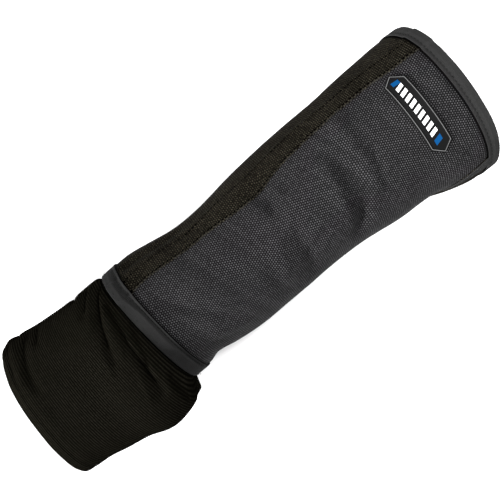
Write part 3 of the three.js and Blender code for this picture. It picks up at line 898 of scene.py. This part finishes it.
def barsPiece(name, bars):
    points, faces = [], []
    top, reach = sleeve["clearance"] + label["wall"], label["barReach"]
    bottom, crest = top - label["sink"], top + label["barHeight"]
    for alongFrom, alongTo, slant in bars:
        steps = max(int((alongTo - alongFrom) / label["barStep"]), 1) + 1
        first = len(points)
        spine = np.linspace(alongFrom, alongTo, steps)
        section = ((-reach, 0, bottom), (-reach, 0, crest), (reach, slant, crest), (reach, slant, bottom))
        for across, shift, lift in section:
            points.extend(fieldPoints(spine + shift, across, lift))
        for side in range(4):
            for k in range(steps - 1):
                a, b = first + side * steps + k, first + (side + 1) % 4 * steps + k
                faces.append((a, a + 1, b + 1, b))
        faces.append(tuple(first + side * steps for side in range(4)))
        faces.append(tuple(first + side * steps + steps - 1 for side in (3, 2, 1, 0)))
    mesh = bpy.data.meshes.new(name)
    mesh.from_pydata(place(np.array(points)), [], faces)
    fixNormals(mesh)
    return addPiece(name, mesh, sharp=20)


rubberLabel = labelPiece()
finishPiece(rubberLabel, plain("rubber", label["rubber"], 0.6, 0.03), "rubber", "label")
# the rim's crest line gets a paler material, a painted highlight
rubberLabel.data.materials.append(plain("rubberRimHighlight", label["rimHighlight"], 0.6, 0.1))
for face in rubberLabel.data.polygons:
    level = face.index // (2 * label["columns"] + 4)
    face.material_index = int(level == 4)  # the line on the rim's crest, painted pale as a highlight
starts = [label["firstBar"] + label["barPitch"] * k for k in range(label["barCount"])]
bars = [(start, start + label["barWidth"], label["barSlant"]) for start in starts]
whiteBars = barsPiece("labelBars", bars)
blueBars = barsPiece("labelEndBars", label["endBars"])
finishPiece(whiteBars, plain("whitePrint", label["white"], 0.6, 0.1), "rubber")
finishPiece(blueBars, plain("bluePrint", label["blue"], 0.6, 0.05), "rubber")

# Stitches, each row a list of places that Geometry Nodes puts a stitch on

stitches = dict(
    lap=dict(Length=0.0028, Width=0.0014, Height=0.0008, Spread=0.15, Seed=4),
    lapThread=(0.0, 0.0, 0.0, 1),
    lapInset=0.0016,
    lapPitch=0.0041,
    lapEnd=0.002,
    tape=dict(Length=0.0026, Width=0.0008, Height=0.0006, Spread=0.15, Seed=7),
    tapeThread=(0.008, 0.008, 0.008, 1),
    tapePitch=0.0042,
    mouthLift=-0.0002,
    grooveLift=-0.0004,
    edgeInset=0.0024,
    edgePitch=0.0085,
    edgeLift=0.0011,
    ringReach=0.125,  # to each side of the top
    ringHeight=0.03,
    ringSamples=260,
    lapSamples=240,
    headingStep=0.0005,
    facingStep=0.001,
)
# Line of the upper lap row: share of the shell's length, share of the half width
upperLine = np.array([(0.02, 0.66), (0.17, 0.76), (0.33, 0.81), (0.43, 0.77), (0.53, 0.785), (0.65, 0.805),
                      (0.8, 0.79), (0.97, 0.745)])


def repeatTree():
    tree = bpy.data.node_groups.new("stitchRow", "GeometryNodeTree")
    tree.interface.new_socket("Geometry", in_out="INPUT", socket_type="NodeSocketGeometry")
    for key in ("Length", "Width", "Height", "Spread"):
        tree.interface.new_socket(key, in_out="INPUT", socket_type="NodeSocketFloat")
    tree.interface.new_socket("Seed", in_out="INPUT", socket_type="NodeSocketInt")
    tree.interface.new_socket("Material", in_out="INPUT", socket_type="NodeSocketMaterial")
    tree.interface.new_socket("Geometry", in_out="OUTPUT", socket_type="NodeSocketGeometry")
    new, link = tree.nodes.new, tree.links.new
    given, result = new("NodeGroupInput"), new("NodeGroupOutput")
    ball = new("GeometryNodeMeshUVSphere")
    ball.inputs["Segments"].default_value = 8
    ball.inputs["Rings"].default_value = 6
    ball.inputs["Radius"].default_value = 0.5
    size = new("ShaderNodeCombineXYZ")
    for axis, key in zip("XYZ", ("Length", "Width", "Height")):
        link(given.outputs[key], size.inputs[axis])
    shape = new("GeometryNodeTransform")
    link(ball.outputs["Mesh"], shape.inputs["Geometry"])
    link(size.outputs[0], shape.inputs["Scale"])
    facing, heading = (new("GeometryNodeInputNamedAttribute") for _ in range(2))
    for made, key in ((facing, "facing"), (heading, "heading")):
        made.data_type = "FLOAT_VECTOR"
        made.inputs["Name"].default_value = key
    axes = new("FunctionNodeAxesToRotation")
    axes.primary_axis = "Z"
    axes.secondary_axis = "X"
    link(facing.outputs["Attribute"], axes.inputs[0])
    link(heading.outputs["Attribute"], axes.inputs[1])
    chance = new("FunctionNodeRandomValue")
    chance.data_type = "FLOAT"
    for operation, socket in (("SUBTRACT", 2), ("ADD", 3)):  # the least and the most size
        limit = new("ShaderNodeMath")
        limit.operation = operation
        limit.inputs[0].default_value = 1.0
        link(given.outputs["Spread"], limit.inputs[1])
        link(limit.outputs[0], chance.inputs[socket])
    link(given.outputs["Seed"], chance.inputs["Seed"])
    instances = new("GeometryNodeInstanceOnPoints")
    link(given.outputs["Geometry"], instances.inputs["Points"])
    link(shape.outputs[0], instances.inputs["Instance"])
    link(axes.outputs[0], instances.inputs["Rotation"])
    link(chance.outputs[1], instances.inputs["Scale"])
    real = new("GeometryNodeRealizeInstances")
    link(instances.outputs[0], real.inputs[0])
    paint = new("GeometryNodeSetMaterial")
    link(real.outputs[0], paint.inputs["Geometry"])
    link(given.outputs["Material"], paint.inputs["Material"])
    link(paint.outputs[0], result.inputs[0])
    return tree


stitchTree = repeatTree()


def stitchPiece(name, points, facing, heading, settings, material):
    mesh = bpy.data.meshes.new(name)
    mesh.from_pydata(place(points), [], [])
    for key, values in (("facing", facing), ("heading", heading)):
        attribute = mesh.attributes.new(key, "FLOAT_VECTOR", "POINT")
        attribute.data.foreach_set("vector", np.asarray(values, "f").ravel())
    scratch = bpy.data.objects.new(name + "Points", mesh)
    bpy.context.scene.collection.objects.link(scratch)
    modifier = scratch.modifiers.new("row", "NODES")
    modifier.node_group = stitchTree
    values = dict(settings, Material=material)
    for item in stitchTree.interface.items_tree:
        if item.in_out == "INPUT" and item.name in values:
            modifier[item.identifier] = values[item.name]
    bpy.context.view_layer.update()
    graph = bpy.context.evaluated_depsgraph_get()
    made = bpy.data.meshes.new_from_object(scratch.evaluated_get(graph), depsgraph=graph)
    made.name = name
    bpy.data.objects.remove(scratch)
    return addPiece(name, made, sharp=80)


def rowOnShell(along, lengthOf, liftOf, pitch):  # stitch places on the shell along a line from wrist to mouth
    station = makeStations(along)
    length = lengthOf(station)
    lift = liftOf(station, length)
    turn = turnsAt(station, length)
    points = shellPoints(station, turn, lift)[:, 0]
    above = shellPoints(station, turn, lift + stitches["facingStep"])[:, 0]
    far = np.concatenate([[0], np.cumsum(np.linalg.norm(np.diff(points, axis=0), axis=1))])
    stops = np.arange(pitch / 2, far[-1], pitch)

    def sample(part, stops):
        return np.stack([np.interp(stops, far, part[:, k]) for k in range(3)], 1)

    spots = sample(points, stops)
    return spots, sample(above, stops) - spots, sample(points, stops + stitches["headingStep"]) - spots


def ringRow(inwardsOf, width, fromEdge, lift, pitch):  # stitch places round a tape, over its upper side
    reach = stitches["ringReach"]
    offsets = np.linspace(-reach, reach, stitches["ringSamples"])[:, None]
    near = makeStations(fromEdge(np.full(len(offsets), width / 2)))
    turns = turnsAt(near, (near["top"] + offsets) % near["girth"])[:, 0]
    along = fromEdge(inwardsOf(np.where(turns > math.pi * 1.5, turns - 2 * math.pi, turns)))
    row = rowOnShell(along, lambda s: (s["top"] + offsets) % s["girth"],
                     lambda s, length: lapRise(s, length) + lift, pitch)
    shown = (row[1][:, 2] > 0) & (row[0][:, 2] > stitches["ringHeight"])
    return [part[shown] for part in row]


def mouthPlace(inwards):
    return sleeve["shellLength"] - sleeve["tapeWidth"] + inwards


def wristPlace(inwards):
    return sleeve["wristTapeWidth"] - inwards


def lowerLength(station):
    return station["lap"] + stitches["lapInset"]


def upperLength(station):
    share = np.interp(station["at"], upperLine[:, 0], upperLine[:, 1])
    return lengthsAt(station, math.pi - np.arccos(share ** (sleeve["topFullness"] / 2)))


def lapRow(name, lengthOf):
    ends = sleeve["tapeWidth"] + stitches["lapEnd"]
    along = np.linspace(ends, sleeve["shellLength"] - ends, stitches["lapSamples"])
    row = rowOnShell(along, lengthOf, lapRise, stitches["lapPitch"])
    piece = stitchPiece(name, *row, stitches["lap"], lapThread)
    finishPiece(piece, None, "back_cloth")
    return piece


def tapeRow(name, inwardsOf, width, fromEdge, lift, pitch):
    row = ringRow(inwardsOf, width, fromEdge, tapeLift + lift, pitch)
    piece = stitchPiece(name, *row, stitches["tape"], tapeThread)
    finishPiece(piece, None, "tape")
    return piece


lapThread = plain("thread", stitches["lapThread"], 0.9, 0.0)
lowerRow = lapRow("lapStitches", lowerLength)
upperRow = lapRow("lapStitchesUpper", upperLength)
tapeThread = plain("tapeThread", stitches["tapeThread"], 0.9, 0.02)
mouthRow = tapeRow("mouthStitches", lambda turn: tape["stitchInset"] + 0 * turn, sleeve["tapeWidth"],
                   mouthPlace, stitches["mouthLift"], stitches["tapePitch"])
grooveRow = tapeRow("wristStitches", grooveMiddle, sleeve["wristTapeWidth"],
                    wristPlace, stitches["grooveLift"], stitches["tapePitch"])
edgeInwards = sleeve["wristTapeWidth"] - stitches["edgeInset"]
edgeRow = tapeRow("wristEdgeStitches", lambda turn: edgeInwards + 0 * turn, sleeve["wristTapeWidth"],
                  wristPlace, stitches["edgeLift"], stitches["edgePitch"])

# Floor, light and camera

studio = dict(
    floorColour=(0.86, 0.86, 0.86, 1),
    floorReach=6,
    pixel=0.00093,  # size of a pixel of the 500 x 500 picture at the outline's height
    halfPicture=250,
    sensorWidth=36,
    outlineHeight=0.042,
    distance=0.884,
    pastWrist=0.115,
    turn=-38.5,
    overhead=dict(size=0.5, power=17.5, azimuth=88, elevation=70, distance=1.0),
    side=dict(size=1.3, power=980, azimuth=-91, elevation=22, distance=5.0),
    worldStrength=0.22,
)

floorMesh = bpy.data.meshes.new("floor")
far = studio["floorReach"]
floorMesh.from_pydata([(-far, -far, 0), (far, -far, 0), (far, far, 0), (-far, far, 0)], [], [(0, 1, 2, 3)])
floor = bpy.data.objects.new("floor", floorMesh)
bpy.context.scene.collection.objects.link(floor)
floorMesh.materials.append(plain("floorPaint", studio["floorColour"], 0.9, 0.0))

cameraData = bpy.data.cameras.new("camera")
cameraData.sensor_width = studio["sensorWidth"]
cameraData.lens = studio["sensorWidth"] / 2 / (studio["halfPicture"] * studio["pixel"] / studio["distance"])
camera = bpy.data.objects.new("camera", cameraData)
camera.location = (sleeve["wristX"] + studio["pastWrist"], sleeve["middleY"],
                   studio["outlineHeight"] + studio["distance"])
camera.rotation_euler = (0, 0, math.radians(studio["turn"]))
bpy.context.scene.collection.objects.link(camera)
bpy.context.scene.camera = camera


def addLight(name, size, power, azimuth, elevation, distance):
    data = bpy.data.lights.new(name, "AREA")
    data.shape = "DISK"
    data.size = size
    data.energy = power
    light = bpy.data.objects.new(name, data)
    a, e = math.radians(azimuth), math.radians(elevation)
    back = Vector((math.sin(a) * math.cos(e), -math.cos(a) * math.cos(e), math.sin(e)))
    light.location = back * distance
    light.rotation_euler = back.to_track_quat("Z", "Y").to_euler()
    bpy.context.scene.collection.objects.link(light)


addLight("overhead", **studio["overhead"])
addLight("side", **studio["side"])

world = bpy.data.worlds.new("world")
world.use_nodes = True
world.node_tree.nodes["Background"].inputs["Color"].default_value = (1, 1, 1, 1)
world.node_tree.nodes["Background"].inputs["Strength"].default_value = studio["worldStrength"]
bpy.context.scene.world = world
bpy.context.scene.view_settings.view_transform = "Standard"
